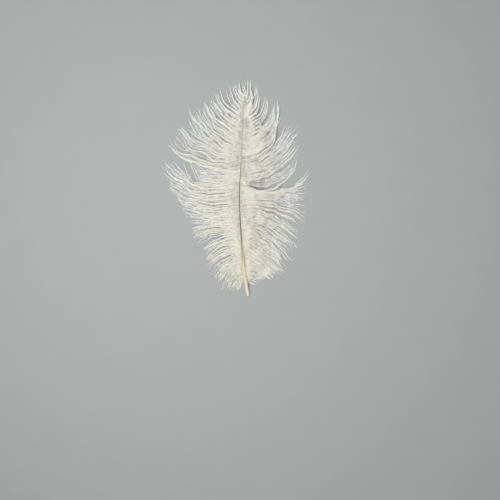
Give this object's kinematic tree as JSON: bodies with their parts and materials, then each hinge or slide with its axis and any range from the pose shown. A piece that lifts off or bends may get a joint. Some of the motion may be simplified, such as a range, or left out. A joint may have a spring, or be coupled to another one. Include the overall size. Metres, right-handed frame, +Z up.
{
  "type": "ostrich feather",
  "caption": "White ostrich feather lying flat: a slender arched shaft with its quill cut off square, and soft drooping barbs in pointed locks on both sides.",
  "frame": {"origin": "on the surface that the feather lies on, under the middle of its outline", "axes": "+Y along the shaft from the cut quill to the tip, +X across the vanes to the right seen from above, +Z up"},
  "size_m": [0.1209, 0.1766, 0.0111],
  "materials": {
    "barbs": "soft bleached down, matt, slightly silky along the barbs",
    "shaft": "horn-like keratin, satin, cream at the quill and brown in the groove"
  },
  "bodies": {
    "root": {"feather": "barbs"}
  },
  "joints": []
}
